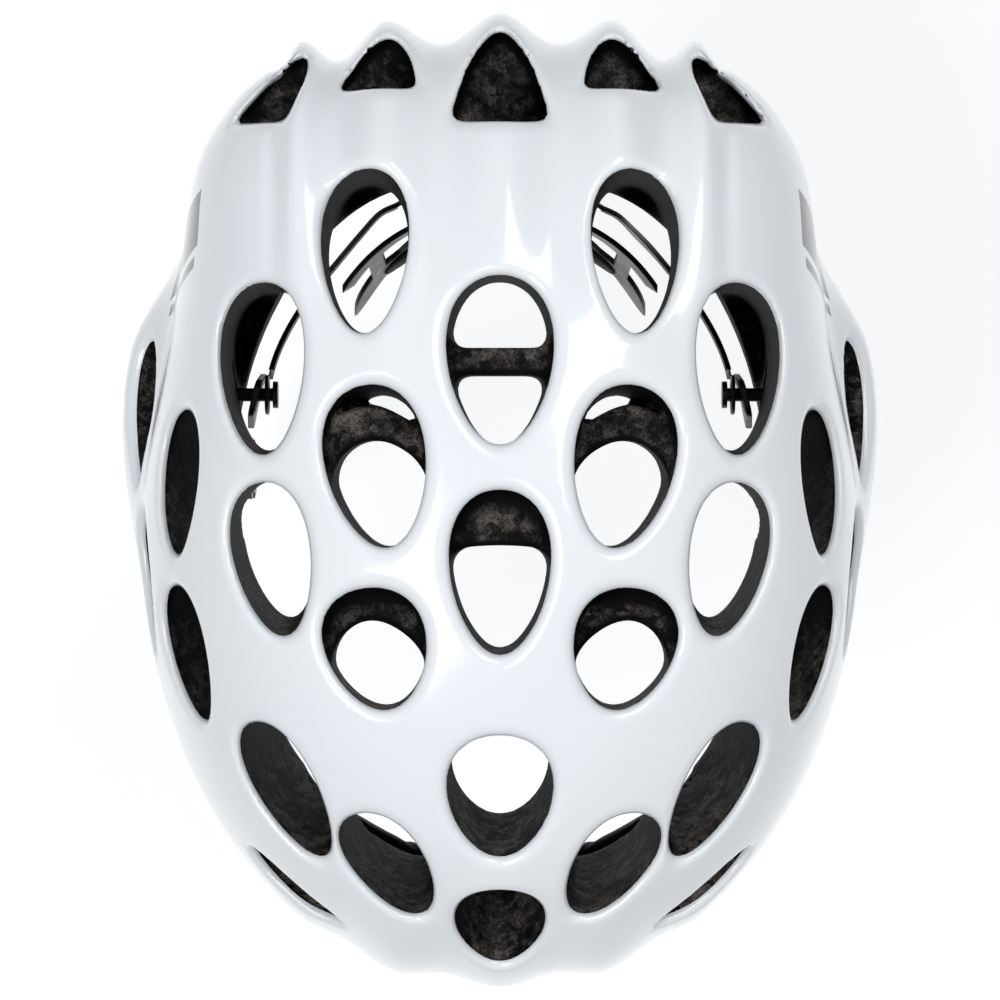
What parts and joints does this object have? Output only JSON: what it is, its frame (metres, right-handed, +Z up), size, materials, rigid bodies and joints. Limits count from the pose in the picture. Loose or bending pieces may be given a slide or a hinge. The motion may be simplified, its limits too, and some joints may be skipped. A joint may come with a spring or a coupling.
{
  "type": "cycling helmet",
  "caption": "Vented road cycling helmet: white shell over dark foam, rear dial cradle, comfort pads and open chin straps.",
  "frame": {"origin": "centre of the head opening at the height of the lowest rim point", "axes": "+Z up through the crown, +Y to the back of the head, +X to the wearer's left as seen from above with the front at the bottom"},
  "size_m": [0.2243, 0.2843, 0.4076],
  "materials": {
    "shell": "gloss white moulded polycarbonate",
    "foam": "black expanded polystyrene, fine bead texture",
    "rim": "satin",
    "padding": "brushed knit over soft foam",
    "hook_tape": "hook tape",
    "steel": "plain",
    "webbing": "flat woven polyester",
    "rubber": "moulded",
    "buckle_plastic": "fine spark-eroded acetal",
    "knob_plastic": "satin",
    "cradle_plastic": "moulded nylon"
  },
  "bodies": {
    "helmet": {"outer_shell": "shell", "lower_shell": "shell", "rim_trim": "rim", "foam_liner": "foam", "brow_pad": "padding", "crown_pad": "padding", "crown_side_pad_right": "padding", "crown_side_pad_left": "padding", "temple_pad_right": "padding", "temple_pad_left": "padding", "hook_dots": "hook_tape", "temple_plate_right": "cradle_plastic", "temple_plate_left": "cradle_plastic", "temple_pins": "cradle_plastic", "strap_anchors": "cradle_plastic", "front_strap_right": "webbing", "front_strap_left": "webbing", "rear_strap_right": "webbing", "rear_strap_left": "webbing", "strap_divider_right": "buckle_plastic", "strap_divider_left": "buckle_plastic", "lever_pins": "steel", "strap_bars": "steel"},
    "cradle": {"cradle_frame": "cradle_plastic", "cradle_pads": "padding", "housing_cover": "cradle_plastic", "dial_housing": "cradle_plastic", "housing_screws": "steel", "detent_spring": "steel", "band_right": "cradle_plastic", "band_left": "cradle_plastic"},
    "dial": {"dial_pinion": "cradle_plastic", "dial_knob": "knob_plastic", "dial_grip": "rubber", "dial_screw": "steel"},
    "rack_right": {"rack_right": "cradle_plastic"},
    "rack_left": {"rack_left": "cradle_plastic"},
    "lever_right": {"divider_lever_right": "buckle_plastic"},
    "lever_left": {"divider_lever_left": "buckle_plastic"},
    "chin_right": {"chin_strap_right": "webbing", "buckle_socket": "buckle_plastic"},
    "chin_left": {"chin_strap_left": "webbing", "buckle_plug": "buckle_plastic"},
    "slider": {"strap_slider": "buckle_plastic"},
    "keeper": {"keeper_ring": "rubber"},
    "chin_pad": {"chin_pad": "padding"}
  },
  "joints": [
    {"name": "cradle_tilt", "type": "hinge", "parent": "helmet", "child": "cradle", "pos_m": [0, 0.031, 0.035], "axis": [1, 0, 0], "range_deg": [-9, 8]},
    {"name": "dial_turn", "type": "hinge", "parent": "cradle", "child": "dial", "pos_m": [0, 0.1, -0.024], "axis": [0, 1, 0], "range_deg": [0, 229]},
    {"name": "rack_left_slide", "type": "slide", "parent": "cradle", "child": "rack_left", "axis": [1, 0, 0], "range_m": [0, 0.0161], "deforming": ["band_left"]},
    {"name": "rack_right_slide", "type": "slide", "parent": "cradle", "child": "rack_right", "axis": [-1, 0, 0], "range_m": [0, 0.0161], "deforming": ["band_right"]},
    {"name": "lever_right_open", "type": "hinge", "parent": "helmet", "child": "lever_right", "pos_m": [0.0966, 0.011, -0.052], "axis": [0, -1, 0], "range_deg": [0, 80]},
    {"name": "lever_left_open", "type": "hinge", "parent": "helmet", "child": "lever_left", "pos_m": [-0.0966, 0.011, -0.052], "axis": [0, 1, 0], "range_deg": [0, 80]},
    {"name": "chin_right_swing", "type": "hinge", "parent": "helmet", "child": "chin_right", "pos_m": [0.091, 0.011, -0.07], "axis": [0, 1, 0], "range_deg": [-15, 60]},
    {"name": "chin_left_swing", "type": "hinge", "parent": "helmet", "child": "chin_left", "pos_m": [-0.091, 0.011, -0.07], "axis": [0, -1, 0], "range_deg": [-15, 60]},
    {"name": "slider_slide", "type": "slide", "parent": "chin_left", "child": "slider", "axis": [0, 0, 1], "range_m": [-0.014, 0.01]},
    {"name": "keeper_slide", "type": "slide", "parent": "chin_left", "child": "keeper", "axis": [0, 0, 1], "range_m": [-0.01, 0.012]},
    {"name": "chin_pad_slide", "type": "slide", "parent": "chin_left", "child": "chin_pad", "axis": [0, 0, 1], "range_m": [-0.01, 0.025]}
  ],
  "couplings": [
    {"joint": "rack_left_slide", "follows": "dial_turn", "m_per_rad": 0.004},
    {"joint": "rack_right_slide", "follows": "dial_turn", "m_per_rad": 0.004}
  ]
}
